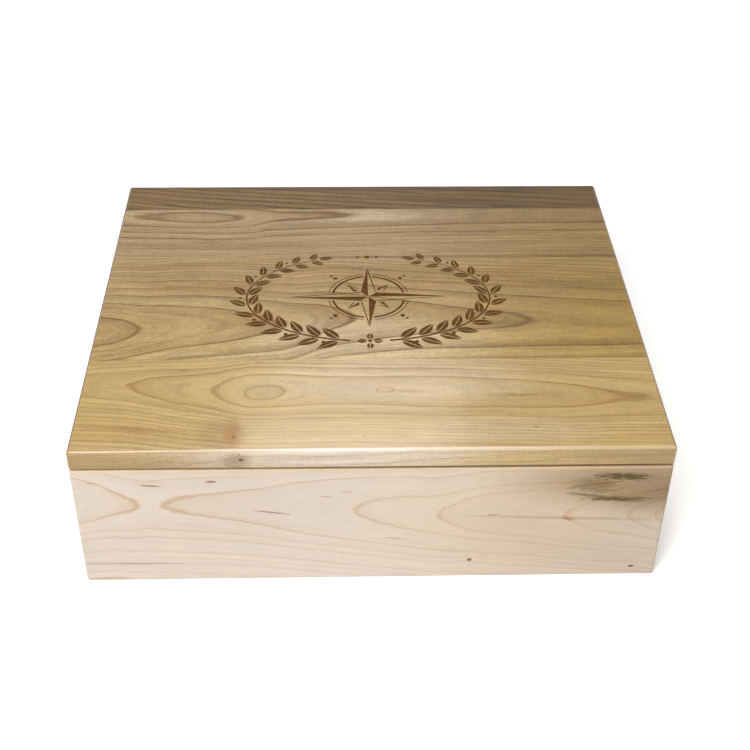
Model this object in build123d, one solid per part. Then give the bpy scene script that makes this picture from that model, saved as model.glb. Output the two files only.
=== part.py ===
from build123d import *
from math import radians, tan
import os

# A solid maple document box with a hinged slab lid, in millimetres.
# X runs along the front, Y from the front to the hinged rear, and Z up from the table.
# The origin is at the middle of the footprint.

# Body and lid
box_width = 330.0
box_depth = 286.0
body_height = 85.0  # the four walls, without the lid
wall_thickness = 12.7
lid_thickness = 12.7
seam_gap = 0.8  # between the walls and the lid, set by the closed hinges

# Edges
corner_round = 1.5  # upright corners of the walls and the lid, and the base and top of the walls
lid_top_round = 2.4
lid_lower_ease = 0.8  # chamfer on the lower outer edge of the lid
inner_ease = 0.5  # inner top edge of the walls

# Lid boards, counted from the rear, where the front board takes what is left of the depth
lid_rear_width = 33.0
lid_back_middle_width = 62.5
lid_front_middle_width = 109.5

# Bottom panel, loose in a groove of the walls and resting on the groove's lower face
panel_thickness = 6.0
panel_lift = 6.0  # from the table to the panel
groove_depth = 5.0
panel_edge_gap = 1.0
panel_top_gap = 0.2

# Splines across the four mitres
spline_thickness = 3.0
spline_width = 6.4
spline_stop = 8.0  # wood left above the spline

# Hinge leaves, drawn brass, let into the rear wall and the rear lid board
hinge_length = 38.0
hinge_inset = 38.0  # from the side of the box to the near end of the hinge
hinge_setback = 4.2  # from the rear face to the axis
leaf_width = 7.2  # from the axis
leaf_thickness = 1.1
leaf_gap = 0.05  # between the closed leaves
leaf_corner_round = 0.8
knuckle_count = 5
knuckle_gap = 0.15  # along the axis
knuckle_clearance = 0.25  # round a knuckle, in the other leaf
barrel_clearance = 0.4  # round the knuckles, in the wood
mortise_clearance = 0.1  # round the edges of a leaf

# Hinge pins
pin_radius = 1.0
pin_grip = 0.01  # round the pin in the box leaf, which holds it
pin_play = 0.06  # round the pin in the lid leaf, which turns on it
pin_overhang = 0.5  # past each end of the barrel

# Screws, two in each leaf
screw_length = 9.5
screw_head_radius = 2.2
screw_shank_radius = 1.1
screw_spacing = 22.0
screw_slot_width = 0.55
screw_slot_depth = 0.55
screw_slot_turns = (24.0, 71.0)  # degrees, one for each screw of a leaf
screw_fit = 0.02
pilot_end_gap = 0.4

# Lid stop: the rear edges are bevelled along planes through the hinge axis
lid_stop_angle = 95.0
stop_slack = 0.5  # degrees off each bevel, so that they meet without binding

# Places that follow from the sizes above
inner_width = box_width - 2 * wall_thickness
inner_depth = box_depth - 2 * wall_thickness
lid_floor = body_height + seam_gap
axis_y = box_depth / 2 - hinge_setback
axis_z = body_height + seam_gap / 2
knuckle_radius = pin_radius + leaf_thickness
knuckle_pitch = hinge_length / knuckle_count
hinge_x = box_width / 2 - hinge_inset - hinge_length / 2
leaf_cutback = knuckle_radius + knuckle_clearance
screw_y = -(leaf_cutback + leaf_width) / 2
groove_width = inner_width + 2 * groove_depth
groove_length = inner_depth + 2 * groove_depth
reach = 10.0  # how far a cutting shape runs past what it cuts

hinges = {"left": -hinge_x, "right": hinge_x}
corners = {
    "front_left": (-1, -1),
    "front_right": (1, -1),
    "rear_left": (-1, 1),
    "rear_right": (1, 1),
}
box_knuckles = range(0, knuckle_count, 2)
lid_knuckles = range(1, knuckle_count, 2)
on_floor = (Align.CENTER, Align.CENTER, Align.MIN)
along_x = Rot(0, 90, 0)


def body_block():
    """The outside of the four walls, rounded over on every edge."""
    block = Box(box_width, box_depth, body_height, align=on_floor)
    return fillet(block.edges(), corner_round)


def stop_bevel(turn):
    """A wedge behind the hinge axis, above the rear edge of the body (turn 1) or below that of the lid (turn -1)."""
    far = hinge_setback + reach
    drop = far * tan(radians(lid_stop_angle / 2 + stop_slack))
    outline = Polyline((0, 0), (far, -turn * drop), (far, turn * reach), (0, turn * reach), close=True)
    section = Plane.YZ * make_face(outline)
    wedge = extrude(section, box_width / 2 + reach, both=True)
    return Pos(0, axis_y, axis_z) * wedge


def leaf_recess():
    """What a leaf, its knuckles, the pin and the screws take out of the wood, with the hinge axis as the origin."""
    length = hinge_length + 2 * mortise_clearance
    depth = leaf_gap / 2 + leaf_thickness
    seat = Pos(0, 0, -depth) * Box(length, leaf_width + mortise_clearance, depth + reach,
                                   align=(Align.CENTER, Align.MAX, Align.MIN))
    barrel_length = hinge_length + 2 * (pin_overhang + barrel_clearance)
    barrel = along_x * Cylinder(knuckle_radius + barrel_clearance, barrel_length)
    pilots = [
        Pos(x, screw_y, -leaf_gap / 2 - screw_length - pilot_end_gap)
        * Cylinder(screw_shank_radius + screw_fit, screw_length, align=on_floor)
        for x in (-screw_spacing / 2, screw_spacing / 2)
    ]
    return seat + barrel + pilots


def body_ring():
    """The four walls in one piece: rounded, grooved for the panel, slotted for the splines and cut for the hinges."""
    ring = body_block() - Box(inner_width, inner_depth, 3 * body_height)
    inside = inner_width / 2 + inner_ease
    top_inner = ring.edges().group_by(Axis.Z)[-1].filter_by_position(Axis.X, -inside, inside)
    inside = inner_depth / 2 + inner_ease
    ring = fillet(top_inner.filter_by_position(Axis.Y, -inside, inside), inner_ease)
    ring -= Pos(0, 0, panel_lift) * Box(groove_width, groove_length, panel_thickness + panel_top_gap, align=on_floor)
    ring -= [spline_slot(*signs) for signs in corners.values()]
    ring -= stop_bevel(1)
    return ring - [Pos(x, axis_y, axis_z) * leaf_recess() for x in hinges.values()]


def spline_slot(side, end):
    """The slot across one mitre, open at the base and stopped below the top."""
    x = side * (box_width - wall_thickness) / 2
    y = end * (box_depth - wall_thickness) / 2
    slot = Box(spline_width, spline_thickness, body_height - spline_stop, align=on_floor)
    return Pos(x, y, 0) * Rot(0, 0, -45 * side * end) * slot


def mitred_wall(ring, turn):
    """One side of the ring between its two mitres, the front for turn 0 and onwards against the clock."""
    half_run, half_across = (box_width / 2, box_depth / 2) if turn % 2 == 0 else (box_depth / 2, box_width / 2)
    out = half_across + reach
    back = half_across - wall_thickness - reach
    spread = half_run - half_across
    outline = Polyline((-spread - out, -out), (spread + out, -out), (spread + back, -back), (-spread - back, -back),
                       close=True)
    wedge = extrude(make_face(outline), body_height + reach)
    return ring & (Rot(0, 0, 90 * turn) * wedge)


def bottom_panel():
    """The panel, a little smaller than its groove on all four edges."""
    size = (groove_width - 2 * panel_edge_gap, groove_length - 2 * panel_edge_gap, panel_thickness)
    return Pos(0, 0, panel_lift) * Box(*size, align=on_floor)


def lid_slab():
    """The lid in one piece: rounded over above, eased below, bevelled at the rear and cut for the hinges."""
    slab = Pos(0, 0, lid_floor) * Box(box_width, box_depth, lid_thickness, align=on_floor)
    slab = fillet(slab.edges().filter_by(Axis.Z), corner_round)
    slab = fillet(slab.edges().group_by(Axis.Z)[-1], lid_top_round)
    slab = chamfer(slab.edges().group_by(Axis.Z)[0], lid_lower_ease)
    slab -= stop_bevel(-1)
    recess = mirror(leaf_recess(), about=Plane.XY)
    return slab - [Pos(x, axis_y, axis_z) * recess for x in hinges.values()]


def lid_boards():
    """The slab parted along its glue joints, from the rear to the front."""
    slab = lid_slab()
    rear_edge = box_depth / 2
    widths = {
        "lid_board_rear": lid_rear_width,
        "lid_board_back_middle": lid_back_middle_width,
        "lid_board_front_middle": lid_front_middle_width,
    }
    widths["lid_board_front"] = box_depth - sum(widths.values())
    boards = {}
    for name, width in widths.items():
        strip = Pos(0, rear_edge, lid_floor + lid_thickness / 2) * Box(
            box_width + reach, width, lid_thickness + reach, align=(Align.CENTER, Align.MAX, Align.CENTER))
        boards[name] = slab & strip
        rear_edge -= width
    return boards


def hinge_leaf(knuckles, bore_clearance):
    """A leaf below the hinge axis: a plate cut back round the other leaf's knuckles, with its own on the edge."""
    top = -leaf_gap / 2
    plate = Pos(0, 0, top) * Box(hinge_length, leaf_width, leaf_thickness,
                                 align=(Align.CENTER, Align.MAX, Align.MAX))
    far_corners = plate.edges().filter_by(Axis.Z).group_by(Axis.Y)[0]
    leaf = fillet(far_corners, leaf_corner_round)
    for index in range(knuckle_count):
        x = (index - (knuckle_count - 1) / 2) * knuckle_pitch
        if index in knuckles:
            leaf += Pos(x, 0, 0) * along_x * Cylinder(knuckle_radius, knuckle_pitch - knuckle_gap)
        else:
            length = knuckle_pitch + knuckle_gap
            if index in (0, knuckle_count - 1):
                length += reach
                x += reach / 2 if index else -reach / 2
            leaf -= Pos(x, 0, 0) * Box(length, 2 * leaf_cutback, 2 * leaf_cutback)
    leaf -= along_x * Cylinder(pin_radius + bore_clearance, hinge_length + reach)
    sink_radius = screw_head_radius + screw_fit
    sink_depth = screw_head_radius - screw_shank_radius
    for x in (-screw_spacing / 2, screw_spacing / 2):
        sink = Cone(sink_radius - sink_depth, sink_radius, sink_depth, align=(Align.CENTER, Align.CENTER, Align.MAX))
        hole = Cylinder(screw_shank_radius + screw_fit, 2 * leaf_width)
        leaf -= Pos(x, screw_y, top) * (sink + hole)
    return leaf


def hinge_pin():
    """The pin, a little longer than the barrel."""
    return along_x * Cylinder(pin_radius, hinge_length + 2 * pin_overhang)


def wood_screw(slot_turn):
    """A slotted countersunk screw pointing down, with its head's face at z = 0."""
    outline = Polyline(
        (0, 0),
        (screw_head_radius, 0),
        (screw_shank_radius, screw_shank_radius - screw_head_radius),
        (screw_shank_radius, -screw_length),
        (0, -screw_length),
        close=True,
    )
    screw = revolve(Plane.XZ * make_face(outline), axis=Axis.Z)
    slot = Box(3 * screw_head_radius, screw_slot_width, 2 * screw_slot_depth)
    return screw - Rot(0, 0, slot_turn) * slot


def leaf_screws():
    """The two screws of one leaf, flush with the face that meets the other leaf."""
    places = zip((-screw_spacing / 2, screw_spacing / 2), screw_slot_turns)
    return Compound([Pos(x, screw_y, -leaf_gap / 2) * wood_screw(turn) for x, turn in places])


def hinge_parts(side, x):
    """One butt hinge in place: the box leaf below the axis, the lid leaf above it, the pin and the screws."""
    place = Pos(x, axis_y, axis_z)
    lid_leaf = mirror(hinge_leaf(lid_knuckles, pin_play), about=Plane.XY)
    return {
        f"hinge_{side}_box_leaf": place * hinge_leaf(box_knuckles, pin_grip),
        f"hinge_{side}_lid_leaf": place * lid_leaf,
        f"hinge_{side}_pin": place * hinge_pin(),
        f"hinge_{side}_box_screws": place * leaf_screws(),
        f"hinge_{side}_lid_screws": place * mirror(leaf_screws(), about=Plane.XY),
    }


def all_parts():
    """Every piece of the box by name."""
    ring = body_ring()
    outside = body_block()
    parts = lid_boards()
    for turn, name in enumerate(("front_board", "right_board", "rear_board", "left_board")):
        parts[name] = mitred_wall(ring, turn)
    parts["bottom_panel"] = bottom_panel()
    for corner, signs in corners.items():
        parts[f"corner_spline_{corner}"] = spline_slot(*signs) & outside
    for side, x in hinges.items():
        parts.update(hinge_parts(side, x))
    return parts


os.makedirs("parts", exist_ok=True)
for node, shape in all_parts().items():
    export_step(shape, f"parts/{node}.step")
    volumes = [round(solid.volume, 1) for solid in shape.solids()]
    print(node, volumes)
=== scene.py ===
import math

import bmesh
import bpy
import numpy as np
from mathutils import Matrix, Vector


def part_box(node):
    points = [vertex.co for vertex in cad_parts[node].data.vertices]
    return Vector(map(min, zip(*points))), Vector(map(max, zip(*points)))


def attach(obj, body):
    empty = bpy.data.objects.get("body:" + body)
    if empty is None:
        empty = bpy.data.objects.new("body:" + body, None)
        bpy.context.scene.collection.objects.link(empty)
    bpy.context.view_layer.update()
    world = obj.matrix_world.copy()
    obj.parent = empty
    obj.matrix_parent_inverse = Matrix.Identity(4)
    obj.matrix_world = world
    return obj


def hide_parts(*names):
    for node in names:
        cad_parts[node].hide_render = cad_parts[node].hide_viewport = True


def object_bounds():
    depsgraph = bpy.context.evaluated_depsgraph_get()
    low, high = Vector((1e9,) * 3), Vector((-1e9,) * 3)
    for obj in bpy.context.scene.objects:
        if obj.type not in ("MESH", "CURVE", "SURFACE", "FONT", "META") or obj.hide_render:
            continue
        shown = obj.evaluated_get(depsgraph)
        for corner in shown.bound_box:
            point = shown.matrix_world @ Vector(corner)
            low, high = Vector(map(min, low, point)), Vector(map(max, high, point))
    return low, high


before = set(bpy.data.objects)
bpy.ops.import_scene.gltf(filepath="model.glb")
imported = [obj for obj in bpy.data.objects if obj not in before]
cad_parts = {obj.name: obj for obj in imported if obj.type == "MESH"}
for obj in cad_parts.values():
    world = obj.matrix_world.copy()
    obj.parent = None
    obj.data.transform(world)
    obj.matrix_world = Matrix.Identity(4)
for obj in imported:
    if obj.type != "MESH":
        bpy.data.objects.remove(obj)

cadLow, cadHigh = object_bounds()
print("frame loaded, CAD box", tuple(round(v, 4) for v in cadLow), tuple(round(v, 4) for v in cadHigh))


# Sizes read from the frame, in metres
boxWidth = cadHigh.x - cadLow.x
boxDepth = cadHigh.y - cadLow.y
lidTop = cadHigh.z
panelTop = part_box("bottom_panel")[1].z
mm = 0.001


# Puts a value or a link into each named socket of a node
def feed(tree, node, feeds):
    for key, value in feeds.items():
        if isinstance(value, bpy.types.NodeSocket):
            tree.links.new(value, node.inputs[key])
        else:
            node.inputs[key].default_value = value
    return node


def addNode(tree, kind, feeds=None, **settings):
    made = tree.nodes.new("ShaderNode" + kind)
    for key, value in settings.items():
        setattr(made, key, value)
    return feed(tree, made, feeds or {})


def calc(tree, operation, *values):
    return addNode(tree, "Math", dict(enumerate(values)), operation=operation).outputs[0]


def product(tree, first, *others):
    for value in others:
        first = calc(tree, "MULTIPLY", first, value)
    return first


def square(tree, value):
    return calc(tree, "POWER", calc(tree, "ABSOLUTE", value), 2.0)


# A value from 0 to 1 as a swing to either side of 0
def swing(tree, value):
    return calc(tree, "SUBTRACT", value, 0.5)


# The three numbers of a point or direction
def parts(tree, vector):
    return addNode(tree, "SeparateXYZ", {0: vector}).outputs


def remap(tree, value, fromLow, fromHigh, toLow=0.0, toHigh=1.0, smooth=False):
    feeds = {"Value": value, "From Min": fromLow, "From Max": fromHigh, "To Min": toLow, "To Max": toHigh}
    kind = "SMOOTHSTEP" if smooth else "LINEAR"
    return addNode(tree, "MapRange", feeds, interpolation_type=kind).outputs["Result"]


def mixColour(tree, factor, first, second, blend="MIX"):
    feeds = {0: factor, 6: first, 7: second}
    return addNode(tree, "Mix", feeds, data_type="RGBA", blend_type=blend).outputs[2]


def bumpOf(tree, height, strength, distance):
    return addNode(tree, "Bump", {"Height": height, "Strength": strength, "Distance": distance}).outputs[0]


# Object coordinates in metres, and in millimetres
def objectSpot(tree):
    return addNode(tree, "TexCoord").outputs["Object"]


def objectMillimetres(tree, turnAndPlace):
    feeds = {"Vector": objectSpot(tree), "Scale": (1 / mm, 1 / mm, 1 / mm), **turnAndPlace}
    return addNode(tree, "Mapping", feeds).outputs[0]


def greyOf(tree, value):
    return addNode(tree, "CombineColor", {0: value, 1: value, 2: value}).outputs[0]


# Noise with its own fineness along each axis, moved by a seed so that no two boards match
def noiseAt(tree, vector, pattern, seed=0.0):
    scales, detail, roughness = pattern
    scaled = addNode(tree, "VectorMath", {0: vector, 1: scales}, operation="MULTIPLY").outputs[0]
    move = addNode(tree, "CombineXYZ", {0: seed, 1: seed, 2: seed}).outputs[0]
    moved = addNode(tree, "VectorMath", {0: scaled, 1: move}, operation="ADD").outputs[0]
    feeds = {"Vector": moved, "Scale": 1.0, "Detail": detail, "Roughness": roughness}
    return addNode(tree, "TexNoise", feeds).outputs[0]


# A smooth curve through (input, output) points in real units, held level past its ends
def curveThrough(tree, value, points):
    ins = [p[0] for p in points]
    outs = [p[1] for p in points]
    low, spread = min(outs), max(outs) - min(outs) or 1.0
    node = addNode(tree, "FloatCurve", {"Value": remap(tree, value, ins[0], ins[-1])})
    line = node.mapping.curves[0]
    for x, y in points[1:-1]:
        line.points.new((x - ins[0]) / (ins[-1] - ins[0]), (y - low) / spread)
    line.points[0].location = (0.0, (outs[0] - low) / spread)
    line.points[len(points) - 1].location = (1.0, (outs[-1] - low) / spread)
    for point in line.points:
        point.handle_type = "AUTO_CLAMPED"
    node.mapping.update()
    return remap(tree, node.outputs[0], 0.0, 1.0, low, low + spread)


# A colour that changes along a value through (value, colour) points
def colourThrough(tree, value, points):
    low, high = points[0][0], points[-1][0]
    node = addNode(tree, "ValToRGB", {0: remap(tree, value, low, high)})
    stops = node.color_ramp.elements
    stops[0].color, stops[1].color = paint(*points[0][1]), paint(*points[-1][1])
    for spot, colour in points[1:-1]:
        stops.new((spot - low) / (high - low)).color = paint(*colour)
    return node.outputs[0]


# A colour written as it is seen, 0 to 255, turned into the linear values that shaders take
def paint(red, green, blue):
    seen = (v / 255 for v in (red, green, blue))
    return [(v / 12.92 if v <= 0.04045 else ((v + 0.055) / 1.055) ** 2.4) for v in seen] + [1.0]


# An empty shader group: its inputs are numbers with their start values, or vectors where that is None
def newGroup(name, inputs, outputs):
    tree = bpy.data.node_groups.new(name, "ShaderNodeTree")
    for title, start in inputs.items():
        kind = "NodeSocketVector" if start is None else "NodeSocketFloat"
        socket = tree.interface.new_socket(name=title, in_out="INPUT", socket_type=kind)
        if start is not None:
            socket.default_value = start
    for title in outputs:
        tree.interface.new_socket(name=title, in_out="OUTPUT", socket_type="NodeSocketFloat")
    return tree, tree.nodes.new("NodeGroupInput").outputs, tree.nodes.new("NodeGroupOutput")


def useGroup(tree, group, feeds):
    return addNode(tree, "Group", feeds, node_tree=group).outputs


def newMaterial(name):
    material = bpy.data.materials.new(name)
    material.use_nodes = True
    return material, material.node_tree, material.node_tree.nodes["Principled BSDF"]


def addObject(name, data):
    item = bpy.data.objects.new(name, data)
    bpy.context.scene.collection.objects.link(item)
    return item


def setMaterial(piece, material):
    piece.data.materials.clear()
    piece.data.materials.append(material)


# Wood noises: how fine they are along, across and into the board, per mm, then their detail and roughness
woodNoises = {
    "bend": ((0.012, 0.035, 0.035), 1.0, 0.5),  # slow waves of the rings
    "ragged": ((0.10, 0.42, 0.42), 2.0, 0.6),  # uneven edges of the ring lines
    "faded": ((0.03, 0.08, 0.08), 1.0, 0.5),  # where the late wood is weaker
    "fine": ((0.05, 1.1, 1.1), 3.0, 0.75),
    "wide": ((0.011, 0.4, 0.4), 4.0, 0.75),
    "pores": ((0.5, 1.6, 1.6), 2.0, 0.8),
    "ticks": ((0.16, 1.3, 1.3), 2.0, 0.5),
    "drift": ((0.007, 0.03, 0.03), 2.0, 0.5),
    "figure": ((0.16, 0.025, 0.025), 1.0, 0.5),
    "broken": ((0.22, 1.3, 1.3), 3.0, 0.6),  # what breaks the marks up
    "charred": ((0.25, 0.6, 0.6), 3.0, 0.6),  # blotches of the burnt wood
}
ringReach = {"Warp": 4.0, "Ragged": 2.0}  # mm that the rings move at a warp or a raggedness of 1
lateLook = {
    "weakestRing": 0.7, "fadeFrom": 0.3, "fadeTo": 0.65, "weakestPlace": 0.75,
    "lineCore": 0.15,  # share of a line's width that has its full strength
}
fibreLook = {"fine": 0.4, "wide": 0.75, "pores": 0.6, "middle": 0.575, "tickFrom": 0.60, "tickTo": 0.72}
markLook = {"broken": -3.0, "fadeFrom": 1.15, "fadeTo": 0.35, "deepest": 9.0, "fullTo": 4.0}  # last two in mm


# Growth rings. A board is cut from a log whose pith runs roughly along it. The distance of a point from the
# pith is sqrt(across^2 + depth^2), where depth changes along the board, so that rings close in tips and
# open in long V shapes on the face, run straight beside them and show as arcs on the end grain.
def buildRingGroup():
    tree, given, leave = newGroup(
        "growthRings",
        {"Vector": None, "Pith Line": 0.0, "Pith Depth": 40.0, "Warp": 1.0, "Ragged": 0.25, "Seed": 0.0},
        ["Distance"],
    )
    vector, seed = given["Vector"], given["Seed"]
    point = parts(tree, vector)
    wave = swing(tree, noiseAt(tree, vector, woodNoises["bend"], seed))
    jitter = swing(tree, noiseAt(tree, vector, woodNoises["ragged"], seed))
    across = calc(tree, "SUBTRACT", point[1], given["Pith Line"])
    warp, ragged = (product(tree, given[key], ringReach[key]) for key in ("Warp", "Ragged"))
    across = calc(tree, "MULTIPLY_ADD", wave, warp, across)
    deep = calc(tree, "ADD", given["Pith Depth"], point[2])
    distance = calc(tree, "SQRT", calc(tree, "ADD", square(tree, across), square(tree, deep)))
    feed(tree, leave, {"Distance": calc(tree, "MULTIPLY_ADD", jitter, ragged, distance)})
    return tree


# Late wood: a thin line where the ring count passes a whole number, a soft shade on the side that grew
# before it, and a tone of its own for each ring.
def buildLateWoodGroup():
    tree, given, leave = newGroup(
        "lateWood",
        {"Vector": None, "Count": 0.0, "Line": 0.06, "Shade Power": 5.0, "Seed": 0.0},
        ["Line", "Shade", "Tone"],
    )
    count, width, seed = given["Count"], given["Line"], given["Seed"]

    def ringChance(ring):
        spot = {"W": calc(tree, "ADD", ring, seed)}
        return addNode(tree, "TexWhiteNoise", spot, noise_dimensions="1D").outputs["Value"]

    nearest = calc(tree, "ROUND", count)
    away = calc(tree, "ABSOLUTE", calc(tree, "SUBTRACT", count, nearest))
    weight = remap(tree, ringChance(nearest), 0.0, 1.0, lateLook["weakestRing"], 1.0)
    faded = noiseAt(tree, given["Vector"], woodNoises["faded"], seed)
    here = remap(tree, faded, lateLook["fadeFrom"], lateLook["fadeTo"], lateLook["weakestPlace"], 1.0)
    weight = product(tree, weight, here)
    line = remap(tree, away, width, product(tree, width, lateLook["lineCore"]), 0.0, 1.0, smooth=True)
    shade = calc(tree, "POWER", calc(tree, "FRACT", count), given["Shade Power"])
    feed(tree, leave, {
        "Line": product(tree, line, weight),
        "Shade": product(tree, shade, weight),
        "Tone": ringChance(calc(tree, "FLOOR", count)),
    })
    return tree


# Fibre: fine streaks along the grain, wider ones that follow the rings, a broad drift of tone, faint cross
# figure, short dark ticks where rays and vessels are cut, and a height for the bump.
def buildFibreGroup():
    outputs = ["Streak", "Drift", "Figure", "Ticks", "Height"]
    tree, given, leave = newGroup("woodFibre", {"Vector": None, "Ring Point": None, "Seed": 0.0}, outputs)

    def fibreNoise(kind, vector=given["Vector"]):
        return noiseAt(tree, vector, woodNoises[kind], given["Seed"])

    fine = fibreNoise("fine")
    wide = fibreNoise("wide", given["Ring Point"])
    pores = swing(tree, fibreNoise("pores"))
    streak = calc(tree, "ADD", product(tree, fine, fibreLook["fine"]), product(tree, wide, fibreLook["wide"]))
    streak = calc(tree, "MULTIPLY_ADD", pores, fibreLook["pores"], streak)
    ticks = remap(tree, fibreNoise("ticks"), fibreLook["tickFrom"], fibreLook["tickTo"], smooth=True)
    feed(tree, leave, {
        "Streak": calc(tree, "SUBTRACT", streak, fibreLook["middle"]),
        "Drift": swing(tree, fibreNoise("drift")),
        "Figure": swing(tree, fibreNoise("figure")),
        "Ticks": ticks,
        "Height": fine,
    })
    return tree


# The inputs of a group that works in an oval round a point on the board, which may lean to the grain
def ovalInputs(halfLength, halfWidth):
    return {"Vector": None, "Place Point": None, "Half Length": halfLength, "Half Width": halfWidth,
            "Slope": 0.0}


# (along / half length)^2 + (across / half width)^2 from the oval's middle, and how far outward a point is
def ovalSpread(tree, given):
    offset = addNode(tree, "VectorMath", {0: given["Vector"], 1: given["Place Point"]}, operation="SUBTRACT")
    along, across, outward = parts(tree, offset.outputs[0])
    across = calc(tree, "MULTIPLY_ADD", product(tree, along, given["Slope"]), -1.0, across)
    longways = square(tree, calc(tree, "DIVIDE", along, given["Half Length"]))
    sideways = square(tree, calc(tree, "DIVIDE", across, given["Half Width"]))
    return calc(tree, "ADD", longways, sideways), outward


# A mark: a fleck, streak, stain or knot, or a painted sheen, highlight or seam shadow, as a soft oval, turned
# to the grain and broken up by noise.
def buildMarkGroup():
    inputs = {**ovalInputs(5.0, 0.5), "Broken": 0.5, "Seed": 0.0}
    tree, given, leave = newGroup("grainAndPaintedLightMark", inputs, ["Mask"])
    spread, outward = ovalSpread(tree, given)
    grain = swing(tree, noiseAt(tree, given["Vector"], woodNoises["broken"], given["Seed"]))
    grain = product(tree, grain, given["Broken"])
    radius = calc(tree, "MULTIPLY_ADD", grain, markLook["broken"], calc(tree, "SQRT", spread))
    flat = remap(tree, radius, markLook["fadeFrom"], markLook["fadeTo"], smooth=True)
    nearFace = remap(tree, calc(tree, "ABSOLUTE", outward), markLook["deepest"], markLook["fullTo"])
    feed(tree, leave, {"Mask": product(tree, flat, nearFace)})
    return tree


# A swirl: the rings part and close round a point, as beside a pin knot, by a push times exp(-spread).
def buildSwirlGroup():
    tree, given, leave = newGroup("ringSwirl", {**ovalInputs(10.0, 6.0), "Push": -3.0}, ["Shift"])
    spread = ovalSpread(tree, given)[0]
    fall = calc(tree, "EXPONENT", product(tree, spread, -1.0))
    feed(tree, leave, {"Shift": product(tree, fall, given["Push"])})
    return tree


growthRings = buildRingGroup()
lateWood = buildLateWoodGroup()
woodFibre = buildFibreGroup()
grainAndPaintedLightMark = buildMarkGroup()
ringSwirl = buildSwirlGroup()
print("shader groups built")


# How each wall lies in the box: its turn in degrees, and its face's distance from the middle in metres
wallTurns = {"front": 0.0, "right": -90.0, "rear": 180.0, "left": 90.0}
wallFace = {"front": boxDepth / 2, "rear": boxDepth / 2, "left": boxWidth / 2, "right": boxWidth / 2}

# Finishes: the lid is lacquered, the walls only oiled
lacquered = {"specular": 0.2, "coat": 1.0, "coatRough": 0.17, "coatIor": 1.55, "rough": 0.42, "bump": 0.3}
oiled = {"specular": 0.2, "coat": 0.1, "coatRough": 0.3, "coatIor": 1.45, "rough": 0.55, "bump": 0.15}

# Maple boards. Each dictionary holds one board's own values, in millimetres along and across its face.
# "pithLine" and "pithDepth" are the place and depth of the log's heart along the board, and "rings" the
# distances from it at which each ring ends. "paleFar" is the pale wood's colour at the second of the two
# places "across". A mark is its kind, place along and across, half length, half width, slope, how broken up
# it is, and weight. A swirl is the same up to the slope, and then how far it pushes the rings.
lidRear = {
    "name": "mapleLidRear", "seed": 3.1, "gloss": lacquered, "rightTint": (0.72, 0.67, 0.5),
    "pale": (135, 105, 58), "line": (70, 46, 18), "shade": (102, 74, 35),
    "lineWeight": 0.8, "lineWidth": 0.16, "shadePower": 3.0,
    "warp": 1.1, "ragged": 0.35, "drift": 0.32, "streak": 1.5, "ticks": 0.35,
    "pithLine": [(-165, 173), (-115, 165), (-65, 158), (10, 149.5), (85, 142.5), (165, 135.5)],
    "pithDepth": [(-165, 6), (165, 6)],
    "rings": [5, 10, 16.3, 22, 27.7, 33, 38.3, 45, 52.3, 60],
    "marks": [
        ("dark", -133, 116.5, 18, 1.1, -0.32, 0.6, 0.7),
        ("dark", -72.5, 117, 1.2, 1.0, 0.0, 0.1, 0.8),
        ("dark", -5, 112.4, 12, 1.2, -0.03, 0.4, 0.75),
        ("dark", 98, 112.8, 16, 1.4, -0.06, 0.4, 0.75),
        ("dark", 20, 139, 190, 6.5, -0.01, 0.35, 0.5),
        ("dark", 60, 121.5, 60, 1.2, -0.05, 0.5, 0.45),
    ],
}

lidBackMiddle = {
    "name": "mapleLidBackMiddle", "seed": 11.7, "gloss": lacquered, "rightTint": (0.73, 0.66, 0.42),
    "pale": (186, 160, 118), "line": (112, 78, 38), "shade": (146, 112, 68),
    "paleFar": (180, 155, 116), "across": (47.5, 110),
    "lineWeight": 0.9, "lineWidth": 0.12, "shadePower": 2.2,
    "warp": 0.35, "ragged": 0.16, "drift": 0.16, "streak": 0.92, "ticks": 0.22,
    "pithLine": [(-165, 101), (-140, 100.6), (-115, 100), (-90, 99), (-65, 100.5), (-40, 101.5),
                 (-15, 102.5), (165, 102)],
    "pithDepth": [(-165, 27.9), (-140, 27.2), (-115, 26.7), (-90, 27.3), (-77, 28.0), (-65, 29.0),
                  (-57, 29.5), (-40, 29.68), (-25, 29.82), (-15.5, 30), (10, 30.7), (35, 31.3), (100, 32.1),
                  (165, 32.4)],
    "rings": [24, 27.5, 30, 34.2, 38.7, 45.2, 46.8, 48.5, 51, 52.6, 54.6, 56.5, 58.5, 61],
    "marks": [
        ("fleck", -113, 79.7, 5, 0.9, 0.0, 0.5, 0.7),
        ("fleck", -64, 83.7, 8, 1.0, 0.02, 0.6, 0.75),
        ("fleck", 53, 83.8, 5, 0.8, 0.0, 0.5, 0.6),
        ("fleck", 85, 79.6, 4, 1.0, 0.02, 0.5, 0.75),
        ("fleck", 101, 82.6, 10, 0.8, 0.01, 0.7, 0.55),
        ("fleck", 131, 82.2, 7, 0.8, 0.02, 0.6, 0.6),
        ("fleck", -150, 105.6, 7, 0.9, 0.03, 0.6, 0.6),
        ("fleck", -136, 107, 6, 0.8, 0.0, 0.6, 0.5),
        ("shade", -30, 101.5, 16, 2.6, -0.03, 0.4, 0.65),
        ("shade", 0, 77, 190, 3.5, -0.01, 0.5, 0.45),
        ("shade", -90, 64, 110, 6, -0.01, 0.5, 0.4),
        # paintedSheen: a painted reflection of the lamps along the middle of the board
        ("paintedSheen", 0, 100, 70, 8, 0.0, 0.3, 0.3),
        ("fleck", 56, 71.8, 15, 0.7, -0.01, 0.4, 0.5),
        ("fleck", -130, 73, 3, 0.4, 0.02, 0.5, 0.6),
    ],
}

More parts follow.
